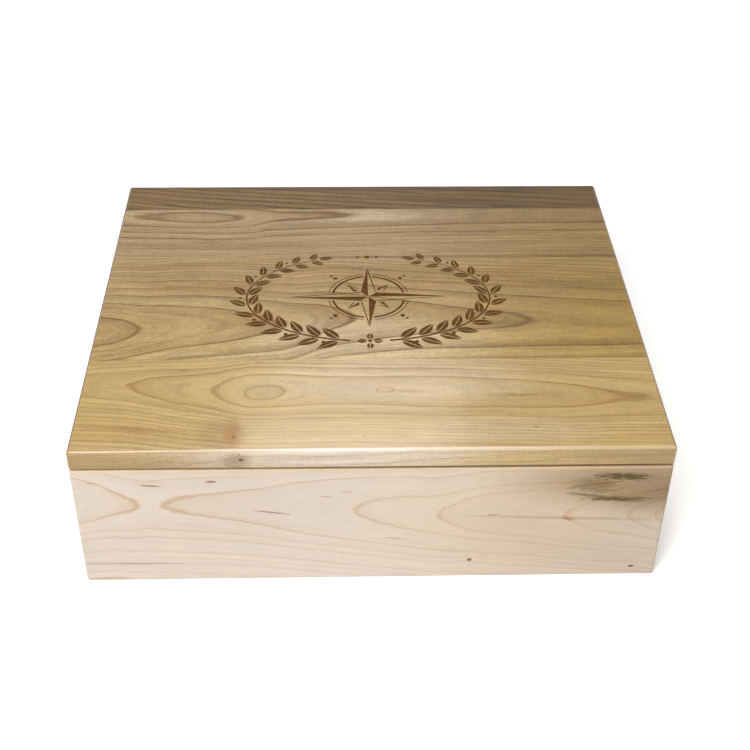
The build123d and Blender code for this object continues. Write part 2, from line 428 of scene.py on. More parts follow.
lidFrontMiddle = {
    "name": "mapleLidFrontMiddle", "seed": 23.4, "gloss": lacquered, "rightTint": (0.84, 0.80, 0.50),
    "pale": (190, 161, 104), "line": (116, 80, 34), "shade": (148, 112, 58),
    "paleFar": (176, 148, 106), "across": (-62, 47.5),
    "lineWeight": 0.95, "lineWidth": 0.06, "shadePower": 3.4,
    "warp": 0.7, "ragged": 0.2, "drift": 0.28, "streak": 0.95, "ticks": 0.2,
    "pithLine": [(-165, -33), (-140, -31.5), (-115, -28), (-90, -27), (-55, -27.5), (-15, -19.5), (60, -22),
                 (110, -24), (165, -26.5)],
    "pithDepth": [(-165, 26), (-152, 27.4), (-139, 30), (-115, 33.2), (-90, 35.6), (-72, 37.8), (-55, 39.7),
                  (-15, 46.4), (60, 52.3), (110, 54.1), (165, 55.6)],
    "rings": [22, 30, 39.7, 47, 53.5, 60, 66, 69, 72.5, 75.5, 78, 81, 84, 88, 92],
    "marks": [
        ("shade", -100, 14, 55, 7, -0.02, 0.4, 0.55),
        ("shade", 115, -47, 55, 4.5, 0.02, 0.5, 0.35),
        ("shade", 125, 17, 55, 5, -0.08, 0.5, 0.45),
        ("shade", -120, 40, 60, 3, 0.06, 0.5, 0.5),
        ("shade", -75, -24, 22, 8, 0.1, 0.4, 0.4),
        ("shade", 140, -28, 45, 5, -0.1, 0.6, 0.3),
        ("fleck", -145, -61.2, 6, 0.5, 0.0, 0.4, 0.7),
        ("light", 0, -58, 220, 6.5, 0.0, 0.3, 0.75),
        # paintedSheen: a painted reflection of the lamps in the middle of the board
        ("paintedSheen", 0, -42, 85, 28, 0.0, 0.3, 0.35),
    ],
    "swirls": [(74, -22, 17, 7, 0.0, -1.8)],
}

lidFront = {
    "name": "mapleLidFront", "seed": 37.9, "gloss": lacquered, "rightTint": (0.99, 0.985, 1.0),
    "pale": (196, 166, 104), "line": (148, 108, 54), "shade": (170, 133, 72),
    "paleFar": (198, 170, 112), "across": (-143, -62),
    "lineWeight": 0.78, "lineWidth": 0.075, "shadePower": 3.5,
    "warp": 0.25, "ragged": 0.22, "drift": 0.18, "streak": 0.6, "ticks": 0.18,
    # paintedHighlight: a painted highlight along the lid's front rounding, near white in the middle where the
    # lamps reflect
    "paintedHighlight": [  # colour of the front rounding along the lid
        (-165, (190, 156, 109)), (-124, (193, 165, 122)), (-105, (188, 160, 120)), (-90, (202, 182, 150)),
        (-61, (222, 208, 186)), (-35, (242, 232, 220)), (15, (238, 226, 210)), (40, (228, 212, 186)),
        (81, (228, 205, 178)), (105, (221, 194, 160)), (128, (214, 187, 148)), (165, (214, 187, 147)),
    ],
    "pithLine": [(-165, -85), (-137, -85.8), (-90, -90.5), (-15, -91.2), (72, -94.5), (117, -97.5),
                 (152, -99.2), (165, -99.8)],
    "pithDepth": [(-165, 41.2), (-137.5, 40), (-127, 39.2), (-102, 37.5), (-90, 36.4), (-75, 34),
                  (-65, 33.2), (-15, 34.2), (35, 33.7), (72, 34.05), (97, 34.4), (117, 35.1), (130, 35.8),
                  (142, 36.25), (152.5, 36.4), (165, 36.9)],
    "rings": [28, 32.5, 36.4, 40, 42.3, 44, 45.6, 47.4, 49.5, 51.5, 54, 57, 60, 63.5, 67, 71, 76],
    "marks": [
        ("fleck", -108, -71.8, 4, 0.5, -0.05, 0.5, 0.7),
        ("fleck", -65, -64.4, 3, 0.5, 0.0, 0.4, 0.75),
        ("dark", 84, -96.8, 11, 0.7, 0.0, 0.5, 0.6),
        ("shade", 84, -96.6, 26, 1.8, 0.0, 0.5, 0.45),
        ("shade", 22, -92.4, 17, 2.0, -0.03, 0.4, 0.5),
        ("halo", -76.8, -129, 5.4, 15, 0.0, 0.55, 0.95),
        ("wash", -82, -128, 17, 17, 0.0, 0.3, 0.32),
        ("knot", -75.8, -131.5, 1.3, 1.3, 0.0, 0.2, 0.9),
        ("shade", -130, -124, 42, 3.0, -0.1, 0.6, 0.75),
        ("light", -135, -139, 70, 6, 0.0, 0.3, 0.6),
        ("shade", -142, -87, 10, 2.4, 0.0, 0.5, 0.4),
        # paintedSheen: a painted reflection of the lamps across the middle and right front of the board
        ("paintedSheen", 12, -80, 88, 32, 0.0, 0.3, 0.5),
        ("paintedSheen", 74, -128, 60, 16, 0.0, 0.3, 0.3),
        ("shade", 30, -139, 90, 3, 0.0, 0.5, 0.4),
        ("fleck", 78, -114.4, 5, 0.4, 0.0, 0.5, 0.4),
        ("fleck", 90, -124.9, 1.4, 0.7, 0.2, 0.2, 0.7),
        ("fleck", -4.7, -131.7, 1.0, 0.7, 0.0, 0.2, 0.7),
    ],
    "edgeMarks": [  # the same on the lid's front edge, with the height from the lid's top as the second value
        # paintedSheen and pale here paint the lamps' reflection in the middle of the front edge
        ("paintedSheen", -30, -5, 100, 14, 0.0, 0.3, 0.9),
        ("pale", -15, -4, 80, 9, 0.0, 0.3, 0.35),
        ("wash", -158, -9, 95, 10, 0.0, 0.15, 0.42),
        ("wash", 166, -8, 60, 10, 0.0, 0.15, 0.22),
        ("wash", -74, -7.0, 10, 7, 0.0, 0.3, 0.55),
        ("knot", -71.5, -6.3, 2.0, 1.4, 0.0, 0.2, 1.0),
        ("knot", -72.5, -2.6, 1.2, 0.6, 0.0, 0.2, 0.7),
        ("tan", 140, -6, 60, 12, 0.0, 0.4, 0.4),
    ],
    "swirls": [
        (-61.2, -93.8, 10.2, 7.0, 0.12, -3.4),
        (7.5, -91.0, 5.6, 3.0, 0.0, -3.6),
    ],
}

frontWall = {
    "name": "mapleFront", "seed": 51.3, "gloss": oiled, "wall": "front",
    "pale": (229, 216, 202), "line": (206, 170, 138), "shade": (219, 197, 174),
    "lineWeight": 0.76, "lineWidth": 0.046, "shadePower": 7.0,
    "warp": 0.3, "ragged": 0.22, "drift": 0.10, "streak": 0.18, "ticks": 0.12,
    "pithLine": [(-165, 63.2), (-152, 62.8), (-131, 59.8), (-100, 59.2), (-65, 57.7), (-10, 54.3),
                 (20, 51.6), (37, 49.8), (60, 50.3), (85, 50.2), (108, 48.8), (165, 48.4)],
    "pithDepth": [(-165, 41.2), (-152, 42.9), (-140, 44.3), (-132, 44.8), (-124, 45.3), (-115, 44.85),
                  (-102, 44.4), (-65, 42.9), (-40, 40.5), (-10, 38.0), (15, 36.2), (37, 35.0), (60, 32.2),
                  (85, 30.4), (108.7, 28.7), (135, 25), (145, 24.0), (159.5, 21.3), (165, 20.1)],
    "rings": [16, 18.6, 21.3, 24.1, 28.7, 35.0, 38.0, 44.9, 48.7, 51.6, 57.8, 60.9, 64.2, 70.1, 74],
    "marks": [
        ("fleck", -122, 73.8, 7, 0.6, -0.08, 0.4, 0.8),
        ("fleck", -89, 76.4, 3.6, 1.0, 0.0, 0.5, 0.8),
        ("fleck", -56, 52.9, 13, 0.65, -0.16, 0.3, 0.66),
        ("fleck", -26, 64.5, 5, 0.4, -0.05, 0.5, 0.5),
        ("fleck", -15, 67.8, 5, 0.4, -0.05, 0.5, 0.5),
        ("fleck", 13, 31.8, 8, 0.45, -0.12, 0.4, 0.6),
        ("fleck", 67.5, 49.2, 4, 0.6, 0.0, 0.4, 0.7),
        ("fleck", -139, 13.6, 34, 0.6, -0.01, 0.35, 0.56),
        ("fleck", -154, 76, 3.5, 0.5, -0.1, 0.4, 0.5),
        ("wash", 152, 73, 88, 22, -0.02, 0.1, 0.7),
        ("wash", 166, 60, 46, 18, 0.0, 0.1, 0.38),
        ("wash", 145, 44, 120, 75, 0.0, 0.1, 0.26),
        ("gold", 70, 50, 95, 55, 0.0, 0.2, 0.24),
        ("stain", 139, 77.4, 18, 3.0, -0.05, 0.8, 0.95),
        ("stain", 124, 71.0, 16, 6.5, -0.05, 0.9, 0.5),
        ("fleck", 128, 72.6, 12, 0.6, 0.13, 0.3, 0.7),
        ("stain", 122, 63.4, 15, 1.3, -0.14, 0.6, 0.65),
        ("stain", 136, 60.6, 21, 2.2, -0.03, 0.7, 0.9),
        ("fleck", 148, 61.4, 7, 0.5, 0.12, 0.3, 0.65),
        ("fleck", 160, 67.4, 6, 0.5, 0.28, 0.3, 0.6),
        # gold here is a painted highlight along the wall's top rounding, and dark above it a painted shadow
        # of the seam under the lid
        ("gold", 0, 84.4, 300, 2.0, 0.0, 0.05, 0.55),
        ("dark", 90, 85.5, 330, 1.2, 0.0, 0.05, 0.78),
        ("wash", 108, 46.4, 62, 1.5, -0.04, 0.4, 0.32),
        ("fleck", 110, 45.6, 4.5, 1.2, -0.15, 0.4, 0.45),
        ("knot", 56.2, 13.7, 1.8, 1.3, 0.0, 0.2, 0.95),
        ("knot", 151, 7.0, 1.9, 1.1, 0.1, 0.2, 0.9),
        ("shade", 62, 19, 4.5, 7, -1.2, 0.5, 0.45),
        ("shade", 157, 12, 4.5, 6, -1.2, 0.5, 0.45),
    ],
    "swirls": [(56, 12, 8, 7, 0.0, 1.2), (151, 7, 8, 7, 0.0, 1.2)],
}

markColours = {  # a mark of any other kind takes the board's own shade
    "dark": (66, 42, 16), "fleck": (142, 76, 30), "stain": (94, 78, 26), "knot": (94, 40, 14),
    # paintedSheen is the colour of a painted reflection; gold is the wood's colour, and along the front
    # wall's top a painted highlight
    "pale": (240, 226, 208), "tan": (160, 128, 80), "paintedSheen": (218, 197, 174), "gold": (232, 201, 154),
    # end is the end grain's colour, and also the painted shade on the lid's roundings
    "halo": (180, 128, 44), "light": (198, 170, 120), "wash": (178, 152, 98), "end": (92, 60, 28),
}
groundMarks = ("pale", "tan", "paintedSheen", "light", "halo")  # laid under the rings, the others over them

# Where an effect begins and is full, as the part of the surface's normal that points that way
leans = {
    "lidEdge": (0.45, 0.85), "flatTop": (0.999, 0.96), "endGrain": (0.5, 0.95), "thinCoat": (0.3, 0.8),
    "paintedHighlightLow": (0.15, 0.4), "paintedHighlightHigh": (0.99, 0.85), "rearRounding": (0.15, 0.45),
    "endRounding": (0.25, 0.7), "underside": (-0.1, -0.45), "levelFace": (0.999, 0.96),
}
mapleLook = {  # what all the boards share
    "driftGain": 6, "toneFrom": -0.2, "toneTo": 0.8, "toneMost": 0.8, "edgeTone": 0.35, "lateShade": 0.9,
    "streakGain": 2, "edgeStreakGain": 2.4, "figureGain": 0.15, "tintReach": 155, "paintedShadeMost": 0.85,
    "endGrainMost": 0.45, "endGrainDark": 0.35, "paintedHighlight": 0.85,
    "streakSwing": 0.2, "smoother": 0.04, "rougher": 0.06, "endCoat": 0.1, "bumpHeight": 0.00008,
}


def wallRotation(board):
    return math.radians(-90), math.radians(wallTurns[board["wall"]]), 0


# Millimetres along, across and outward from the face
def boardVector(tree, board):
    if "wall" in board:
        place = (0, 0, -wallFace[board["wall"]] / mm)
        return objectMillimetres(tree, {"Rotation": wallRotation(board), "Location": place})
    return objectMillimetres(tree, {"Location": (0, 0, -board.get("faceHeight", lidTop) / mm)})


# The way that the surface faces, as (along, across, outward)
def boardFacing(tree, board):
    feeds = {"Vector": addNode(tree, "TexCoord").outputs["Normal"]}
    if "wall" in board:
        feeds["Rotation"] = wallRotation(board)
    return parts(tree, addNode(tree, "Mapping", feeds).outputs[0])


def ovalFeeds(vector, along, across, halfLength, halfWidth, slope):
    return {"Vector": vector, "Place Point": (along, across, 0), "Half Length": halfLength,
            "Half Width": halfWidth, "Slope": slope}


# Distance from the log's heart, with the swirls added
def ringDistance(tree, board, vector, along):
    distance = useGroup(tree, growthRings, {
        "Vector": vector, "Pith Line": curveThrough(tree, along, board["pithLine"]),
        "Pith Depth": curveThrough(tree, along, board["pithDepth"]),
        "Warp": board["warp"], "Ragged": board["ragged"], "Seed": board["seed"],
    })[0]
    for *oval, push in board.get("swirls", []):
        shift = useGroup(tree, ringSwirl, {**ovalFeeds(vector, *oval), "Push": push})[0]
        distance = calc(tree, "ADD", distance, shift)
    return distance


# Lays marks on a colour. Each comes with the vector that places it and how much of it this face shows.
def layMarks(tree, colour, marks, underRings, seed, shade):
    for index, (vector, share, (kind, *oval, broken, weight)) in enumerate(marks):
        if (kind in groundMarks) != underRings:
            continue
        feeds = {**ovalFeeds(vector, *oval), "Broken": broken, "Seed": seed + index}
        mask = product(tree, useGroup(tree, grainAndPaintedLightMark, feeds)[0], calc(tree, "MULTIPLY", share, weight))
        tint = paint(*markColours[kind]) if kind in markColours else shade
        colour = mixColour(tree, mask, colour, tint, "MULTIPLY" if kind == "wash" else "MIX")
    return colour


# Painted shade on the lid's roundings towards the rear and the ends, which turn away from the lamps, and on
# its underside at the seam, without the level faces beside them
def paintedRoundingShade(tree, facing, endways):
    rounded = calc(
        tree, "MAXIMUM", remap(tree, endways, *leans["endRounding"], smooth=True),
        remap(tree, facing[1], *leans["rearRounding"], smooth=True),
    )
    rounded = calc(tree, "MAXIMUM", rounded, remap(tree, facing[2], *leans["underside"], smooth=True))
    sideways = calc(tree, "MAXIMUM", endways, facing[1])
    level = calc(tree, "MAXIMUM", calc(tree, "ABSOLUTE", facing[2]), sideways)
    return product(tree, rounded, remap(tree, level, *leans["levelFace"], 0.0, mapleLook["paintedShadeMost"]))


# Roughness that follows the streaks, a coat that is thinner on the ends, and a fine bump
def finishMaple(tree, shader, gloss, fibre, endways):
    look, coat = mapleLook, gloss["coat"]
    spread = look["streakSwing"]
    smoothest, roughest = gloss["rough"] - look["smoother"], gloss["rough"] + look["rougher"]
    feed(tree, shader, {
        "Roughness": remap(tree, fibre["Streak"], -spread, spread, smoothest, roughest),
        "Normal": bumpOf(tree, fibre["Height"], gloss["bump"], look["bumpHeight"]),
        "Specular IOR Level": gloss["specular"],
        "Coat Weight": remap(tree, endways, *leans["thinCoat"], coat, coat * look["endCoat"]),
        "Coat Roughness": gloss["coatRough"],
        "Coat IOR": gloss["coatIor"],
    })


def mapleMaterial(board):
    material, tree, shader = newMaterial(board["name"])
    look, seed, onLid = mapleLook, board["seed"], "rightTint" in board
    pale, line, shade = (paint(*board[key]) for key in ("pale", "line", "shade"))
    vector = boardVector(tree, board)
    place = parts(tree, vector)
    facing = boardFacing(tree, board)
    front = product(tree, facing[1], -1.0)
    endways = calc(tree, "ABSOLUTE", facing[0])
    onEdge = remap(tree, front, *leans["lidEdge"], smooth=True) if onLid else 0.0

    # Rings, and the fibre that follows them on the faces and the height on the lid's front edge
    distance = ringDistance(tree, board, vector, place[0])
    count = curveThrough(tree, distance, [(radius, index) for index, radius in enumerate(board["rings"])])
    late = useGroup(tree, lateWood, {
        "Vector": vector, "Count": count, "Line": board["lineWidth"], "Shade Power": board["shadePower"],
        "Seed": seed,
    })
    follow = addNode(tree, "Mix", {0: onEdge, 2: distance, 3: place[2]}).outputs[0]
    ringVector = addNode(tree, "CombineXYZ", {0: place[0], 1: follow, 2: 0.0}).outputs[0]
    fibre = useGroup(tree, woodFibre, {"Vector": vector, "Ring Point": ringVector, "Seed": seed})

    # Marks on the face, which a wall keeps off its top edge, and those on the lid's front edge
    besideTop = remap(tree, facing[1], *leans["flatTop"]) if "wall" in board else 1.0
    edgeOut = calc(tree, "ADD", place[1], boxDepth / 2 / mm)
    edgeVector = addNode(tree, "CombineXYZ", {0: place[0], 1: place[2], 2: edgeOut}).outputs[0]
    marks = [(vector, besideTop, mark) for mark in board["marks"]]
    marks += [(edgeVector, onEdge, mark) for mark in board.get("edgeMarks", [])]

    # Colour: pale wood with its drift and ring tone, then shade, lines, ticks and streaks, with the marks
    # between them, among them painted sheen and painted shade
    if "paleFar" in board:
        pale = mixColour(tree, remap(tree, place[1], *board["across"]), pale, paint(*board["paleFar"]))
    plainer = remap(tree, onEdge, 0.0, 1.0, 1.0, look["edgeTone"])
    drift = product(tree, fibre["Drift"], board["drift"] * look["driftGain"])
    tone = calc(tree, "ADD", drift, product(tree, swing(tree, late["Tone"]), board["drift"]))
    tone = product(tree, remap(tree, tone, look["toneFrom"], look["toneTo"], 0.0, look["toneMost"]), plainer)
    colour = layMarks(tree, mixColour(tree, tone, pale, shade), marks, True, seed, shade)
    colour = mixColour(tree, product(tree, late["Shade"], look["lateShade"], plainer), colour, shade)
    colour = mixColour(tree, product(tree, late["Line"], board["lineWeight"], plainer), colour, line)
    colour = layMarks(tree, colour, marks, False, seed, shade)
    colour = mixColour(tree, product(tree, fibre["Ticks"], board["ticks"]), colour, line)
    streak = board["streak"]
    strength = remap(tree, onEdge, 0.0, 1.0, streak * look["streakGain"], streak * look["edgeStreakGain"])
    fine = calc(tree, "MULTIPLY_ADD", fibre["Streak"], strength, 1.0)
    fine = calc(tree, "MULTIPLY_ADD", fibre["Figure"], streak * look["figureGain"], fine)
    colour = mixColour(tree, 1.0, colour, greyOf(tree, fine), "MULTIPLY")

    # The lid's darker tint towards its right end, partly painted shade, then painted shade on its roundings,
    # end grain, and a painted highlight on its front rounding
    if onLid:
        # Darker towards the right end: partly the wood's deeper colour, partly painted shade where the light
        # falls off to the right
        reach = remap(tree, place[0], 0, look["tintReach"], smooth=True)
        tint = mixColour(tree, reach, (1, 1, 1, 1), (*board["rightTint"], 1))
        colour = mixColour(tree, 1.0, colour, tint, "MULTIPLY")
        # Painted shade on the lid's rear, end and lower roundings
        colour = mixColour(tree, paintedRoundingShade(tree, facing, endways), colour, paint(*markColours["end"]))
    endGrain = remap(tree, endways, *leans["endGrain"], 0.0, look["endGrainMost"], smooth=True)
    endColour = mixColour(tree, look["endGrainDark"], shade, paint(*markColours["end"]))
    colour = mixColour(tree, endGrain, colour, endColour)
    # A painted highlight on the lid's front rounding
    if "paintedHighlight" in board:
        low, high = (remap(tree, front, *leans[key]) for key in ("paintedHighlightLow", "paintedHighlightHigh"))
        rounding = product(tree, low, high)
        paintedHighlight = colourThrough(tree, place[0], board["paintedHighlight"])
        colour = mixColour(tree, product(tree, rounding, look["paintedHighlight"]), colour, paintedHighlight)
    feed(tree, shader, {"Base Color": colour})
    finishMaple(tree, shader, board["gloss"], fibre, endways)
    return material


# The walls that the front view hides: the same maple, each from another part of the log, whose heart sways
hiddenLog = {
    "along": [-165, -120, -80, -35, 10, 60, 110, 165], "sway": 6, "swayStep": 0.9,
    "depth": 31, "depthSway": 8, "depthStep": 0.55, "depthSeed": 1.7,
}


def otherWall(name, seed, wall, mirrored, lowest):
    log = hiddenLog
    sign = -1 if mirrored else 1
    heart, depth = [], []
    for k, along in enumerate(log["along"]):
        heart.append((along, lowest + log["sway"] * math.sin(seed + log["swayStep"] * k)))
        turn = seed * log["depthSeed"] + sign * log["depthStep"] * k
        depth.append((along, log["depth"] + log["depthSway"] * math.sin(turn)))
    return {
        **frontWall, "name": name, "seed": seed, "wall": wall, "swirls": [],
        "pale": (226, 207, 182), "line": (200, 162, 122), "shade": (213, 187, 156),
        "pithLine": heart, "pithDepth": depth,
        "marks": [
            ("fleck", 24 * sign, 60, 7, 0.45, 0.05, 0.4, 0.6),
            ("fleck", -71 * sign, 33, 10, 0.5, -0.08, 0.4, 0.6),
            ("fleck", 88 * sign, 22, 5, 0.4, 0.03, 0.4, 0.5),
            ("knot", -104 * sign, 68, 1.5, 1.0, 0.0, 0.2, 0.85),
            ("shade", 50 * sign, 12, 90, 6, 0.02, 0.5, 0.5),
        ],
    }


panelBoard = {
    **otherWall("maplePanel", 77.7, "front", False, 20), "faceHeight": panelTop, "warp": 1.4,
    "pale": (222, 200, 168), "line": (190, 152, 108), "shade": (205, 176, 138),
}
del panelBoard["wall"]  # it lies flat
splineBoard = {**panelBoard, "name": "mapleSpline", "seed": 88.1, "pale": (204, 172, 128), "marks": []}

woods = {
    "lid_board_rear": lidRear, "lid_board_back_middle": lidBackMiddle,
    "lid_board_front_middle": lidFrontMiddle, "lid_board_front": lidFront, "front_board": frontWall,
    "rear_board": otherWall("mapleRear", 61.2, "rear", True, 36),
    "left_board": otherWall("mapleLeft", 64.9, "left", False, 52),
    "right_board": otherWall("mapleRight", 69.5, "right", True, 30),
    "bottom_panel": panelBoard,
}
for node, board in woods.items():
    setMaterial(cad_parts[node], mapleMaterial(board))
splineMaterial = mapleMaterial(splineBoard)
for node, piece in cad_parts.items():
    if node.startswith("corner_spline"):
        setMaterial(piece, splineMaterial)
print("maple materials built")


# The engraving on the lid: two laurel sprays round a compass star, burnt in a fraction of a millimetre deep.
# All lengths are in millimetres from its centre. It is cut out of copies of the two boards that it crosses.
engraving = {
    "centre": (0.5, 3.0), "depth": 0.25, "above": 1.0,
    "burnt": (112, 78, 40), "burntDark": (80, 50, 22), "rough": 0.85, "specular": 0.1, "seed": 4.2,
    "rasterPitch": 0.42, "raster": 0.10, "streak": 1.2, "darkFrom": 0.3, "darkTo": 0.75, "bump": 0.4,
    "bumpHeight": 0.0001, "mergeWithin": 0.000001, "flatWithin": 0.5, "sharpFrom": 28,  # metres, then degrees
}
spray = {  # angles in degrees, tapers as the share that is lost towards the tip
    "width": 76.0, "height": 47.0, "from": 9, "to": 155, "stemWidth": 1.6, "stemTaper": 0.6,
    "leafPairs": 13, "firstLeaf": 0.45, "leafLength": 15.5, "leafWidth": 6.3, "leafSpread": 40,
    "leafBend": 1.6, "leafFullness": 0.8, "leafGap": 0.6, "lengthTaper": 0.42, "widthTaper": 0.35,
    "taperPower": 1.5,
    "ribWidth": 0.5, "thinnest": 0.12, "tipLeaf": (10.5, 4.2), "tipGap": 0.7,
    "berry": 1.35, "berryLean": 112, "berryOut": 4.3,
}
star = {
    "wide": 50.0, "tall": 33.0, "short": 19.0, "waist": 7.0, "hair": 0.12, "edge": 0.9,
    "gap": 0.35, "footGap": 2.6, "tipGap": 0.2,  # the last two as shares of half the gap
    "foot": 1.5, "belly": (3.6, 2.5), "innerBelly": (3.8, 1.9), "longEdge": (0.7, 5.0),
    "shortEdge": (0.5, 3.2),
    "ringRadius": 22.5, "ringWidth": 1.5, "thinRing": 25.2, "thinWidth": 0.6, "ringClear": 1.1,
    "dots": ((1.5, 29.2), (0.95, 33.0)),  # radius, and distance from the centre
}
flower = {
    "heart": 1.25, "petal": (6.2, 4.2), "petalOut": 2.0, "bead": 1.8, "sideBead": 1.1, "beadStep": 6.0,
    "beadHeight": 0.97,  # as a share of the sprays' height
}


curveSteps = 60  # points that a curve is worked out at


# Turns and moves outlines given as arrays of points
def placed(outline, angle, x, y):
    turn = np.array([[math.cos(angle), math.sin(angle)], [-math.sin(angle), math.cos(angle)]])
    return outline @ turn + np.array([x, y])


# A leaf along +X in two halves, each from the rib to the leaf's edge, where the half width is
# width / 2 * sin(pi * s ** fullness) at the share s of its length, and the rib bends by bend * s * (1 - s)
def leafHalves(length, width, bend, count=16):
    def halfWidth(s):
        return width / 2 * np.sin(np.pi * s ** spray["leafFullness"])

    share = np.linspace(0.0, 1.0, curveSteps)
    kept = share[halfWidth(share) > spray["ribWidth"] / 2 + spray["thinnest"]]
    s = np.linspace(kept[0], kept[-1], count)
    middle = bend * s * (1 - s)
    rib = np.full_like(s, spray["ribWidth"] / 2)
    return [
        np.column_stack([np.concatenate([s, s[::-1]]) * length,
                         np.concatenate([middle + side * rib, (middle + side * halfWidth(s))[::-1]])])
        for side in (1, -1)
    ]


def disc(radius, x, y, count=16):
    angle = np.linspace(0, 2 * np.pi, count, endpoint=False)
    return np.column_stack([x + radius * np.cos(angle), y + radius * np.sin(angle)])


# Part of a ring between two angles: out along its outer arc and back along the inner one
def arc(radius, width, fromAngle, toAngle, count=24):
    angle = np.linspace(fromAngle, toAngle, count)
    rim = np.column_stack([np.cos(angle), np.sin(angle)])
    return np.concatenate([rim * (radius + width / 2), rim[::-1] * (radius - width / 2)])


# The stem of the right spray follows the oval (a sin t, -b cos t), and its leaves leave it on both sides
def sprayOutlines():
    a, b = spray["width"], spray["height"]
    t = np.linspace(math.radians(spray["from"]), math.radians(spray["to"]), curveSteps)
    line = np.column_stack([a * np.sin(t), -b * np.cos(t)])
    along = np.column_stack([a * np.cos(t), b * np.sin(t)])
    along /= np.linalg.norm(along, axis=1, keepdims=True)
    normal = np.column_stack([-along[:, 1], along[:, 0]])
    thick = spray["stemWidth"] / 2
    half = np.linspace(thick, thick * (1 - spray["stemTaper"]), len(t))[:, None]
    outlines = [np.concatenate([line + normal * half, (line - normal * half)[::-1]])]
    travelled = np.concatenate([[0], np.cumsum(np.linalg.norm(np.diff(line, axis=0), axis=1))])
    for pair in range(spray["leafPairs"]):
        share = (pair + spray["firstLeaf"]) / spray["leafPairs"]
        at = share * travelled[-1]
        x, y = np.interp(at, travelled, line[:, 0]), np.interp(at, travelled, line[:, 1])
        dx, dy = np.interp(at, travelled, along[:, 0]), np.interp(at, travelled, along[:, 1])
        heading = math.atan2(dy, dx)
        length = spray["leafLength"] * (1.0 - spray["lengthTaper"] * share ** spray["taperPower"])
        width = spray["leafWidth"] * (1.0 - spray["widthTaper"] * share ** spray["taperPower"])
        start = spray["stemWidth"] + spray["leafGap"]
        for side in (1, -1):
            lean = heading + side * math.radians(spray["leafSpread"])
            foot = (x + start * math.cos(lean), y + start * math.sin(lean))
            outlines += [placed(h, lean, *foot) for h in leafHalves(length, width, -side * spray["leafBend"])]
            if pair % 2 == 1 and side < 0:
                out, reach = heading + side * math.radians(spray["berryLean"]), spray["berryOut"]
                berry = spray["berry"] * length / spray["leafLength"]
                outlines.append(disc(berry, x + reach * math.cos(out), y + reach * math.sin(out)))
    tip = math.atan2(along[-1, 1], along[-1, 0])
    end = line[-1] + along[-1] * spray["tipGap"]
    outlines += [placed(h, tip, *end) for h in leafHalves(*spray["tipLeaf"], 0.0)]
    return outlines


# Each point of the star is a kite from the waist to the tip: one half cut away, the other a thin edge
def starOutlines():
    gap, hair, waist, short = star["gap"] / 2, star["hair"], star["waist"], star["short"]
    ring = star["ringRadius"]
    corner = waist * math.cos(math.radians(45))
    inner = corner + star["edge"]
    (nearTip, farTip), (shortNear, shortFar) = star["longEdge"], star["shortEdge"]
    (bellyOut, bellyWide), (innerOut, innerWide) = star["belly"], star["innerBelly"]
    diagonal = [
        np.array([[waist + star["foot"], hair], [short, hair], [waist + bellyOut, bellyWide]]),
        np.array([[waist + bellyOut, -bellyWide], [short - shortNear, -hair], [short - shortFar, -hair],
                  [waist + innerOut, -innerWide]]),
    ]
    outlines = []
    for quarter in range(4):
        wideNow = quarter % 2 == 0
        reach = star["wide"] if wideNow else star["tall"]
        nextReach = star["tall"] if wideNow else star["wide"]
        turn = quarter * math.pi / 2
        between = turn + math.pi / 4
        long = [
            np.array([[gap * star["footGap"], gap], [reach, gap * star["tipGap"]], [corner, corner - gap]]),
            np.array([[corner, -corner], [reach - nearTip, -hair], [reach - farTip, -hair],
                      [inner, star["edge"] - corner]]),
        ]
        outlines += [placed(shape, turn, 0, 0) for shape in long]
        outlines += [placed(shape, between, 0, 0) for shape in diagonal]
        # The rings stop short of the long points, whose half width falls evenly from the waist to the tip
        cleared = [
            math.asin((star["ringClear"] + corner * (far - ring) / (far - corner)) / ring)
            for far in (reach, nextReach)
        ]
        for radius, width in ((ring, star["ringWidth"]), (star["thinRing"], star["thinWidth"])):
            outlines.append(arc(radius, width, turn + cleared[0], turn + math.pi / 2 - cleared[1]))
        for radius, distance in star["dots"]:
            outlines.append(disc(radius, distance * math.cos(between), distance * math.sin(between)))
    return outlines


# A four-petalled flower where the sprays begin and three beads where they end
def flowerOutlines():
    low, high = -spray["height"], spray["height"] * flower["beadHeight"]
    outlines = [disc(flower["heart"], 0, low), disc(flower["bead"], 0, high)]
    outlines += [disc(flower["sideBead"], side * flower["beadStep"], high) for side in (-1, 1)]
    for quarter in range(4):
        angle = quarter * math.pi / 2
        foot = (flower["petalOut"] * math.cos(angle), low + flower["petalOut"] * math.sin(angle))
        outlines += [placed(half, angle, *foot) for half in leafHalves(*flower["petal"], 0.0)]
    return outlines


# Prisms that reach from the bottom of the cut to above the lid, one for each outline
def buildCutter():
    right = sprayOutlines()
    left = [outline * np.array([-1.0, 1.0]) for outline in right]
    points, faces, used = [], [], 0
    low, high = lidTop - engraving["depth"] * mm, lidTop + engraving["above"] * mm
    for outline in right + left + starOutlines() + flowerOutlines():
        x, y = outline[:, 0], outline[:, 1]
        if np.sum(x * np.roll(y, -1) - np.roll(x, -1) * y) < 0:  # clockwise
            outline = outline[::-1]
        outline = (outline + np.array(engraving["centre"])) * mm
        n = len(outline)
        points.append(np.column_stack([outline, np.full(n, low)]))
        points.append(np.column_stack([outline, np.full(n, high)]))
        i = np.arange(n)
        j = np.roll(i, -1)
        sides = np.column_stack([i, j, j + n, i + n]) + used
        faces += sides.tolist() + [(i[::-1] + used).tolist(), (i + n + used).tolist()]
        used += 2 * n
    mesh = bpy.data.meshes.new("engravingCutter")
    mesh.from_pydata(np.concatenate(points).tolist(), [], faces)
    mesh.update()
    return mesh


